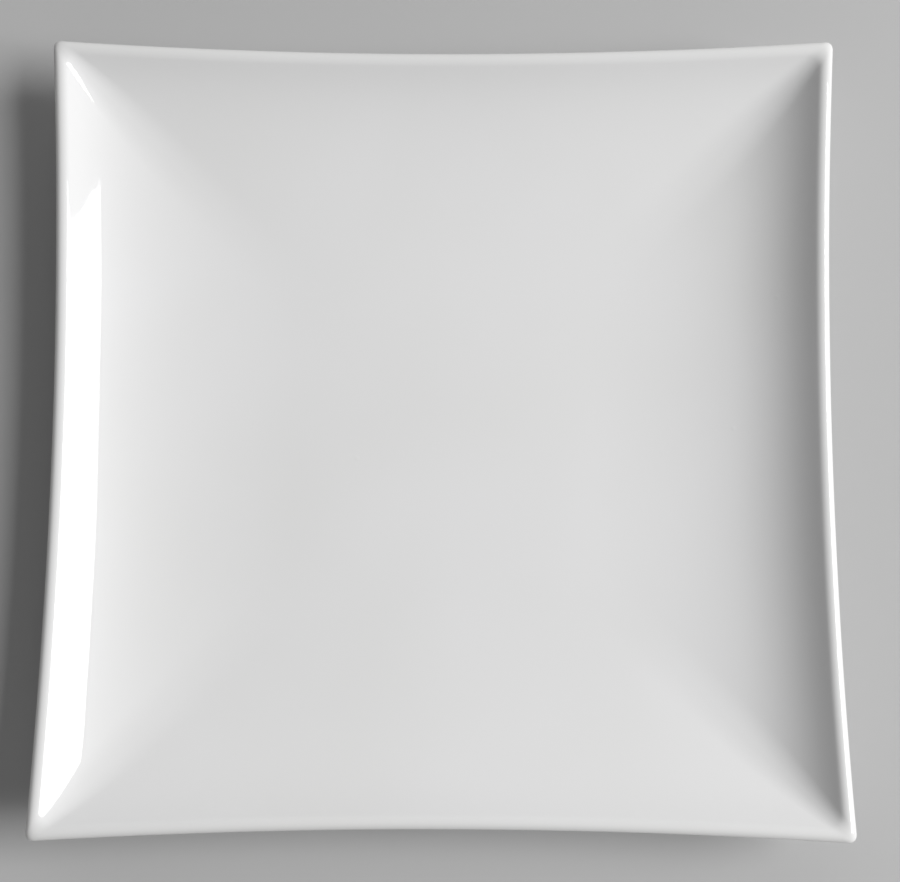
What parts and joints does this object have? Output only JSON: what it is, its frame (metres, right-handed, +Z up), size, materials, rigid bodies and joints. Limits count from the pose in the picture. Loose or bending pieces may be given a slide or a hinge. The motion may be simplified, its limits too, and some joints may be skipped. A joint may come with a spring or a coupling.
{
  "type": "square salad plate",
  "caption": "Square salad plate with drawn-in sides, a flat well, softly mitred rising walls and a rounded lip, on a bare foot ring. Glazed porcelain for serving food.",
  "frame": {"origin": "centre of the foot ring, on the surface that the plate stands on", "axes": "+Z up out of the dish, X and Y along the sides"},
  "size_m": [0.21, 0.21, 0.0213],
  "materials": {
    "bare_porcelain": "unglazed, matt, wiped and polished where it stands",
    "white_glaze": "smooth high gloss"
  },
  "bodies": {
    "root": {"porcelain_body": "bare_porcelain", "face_glaze": "white_glaze", "base_glaze": "white_glaze"}
  },
  "joints": []
}
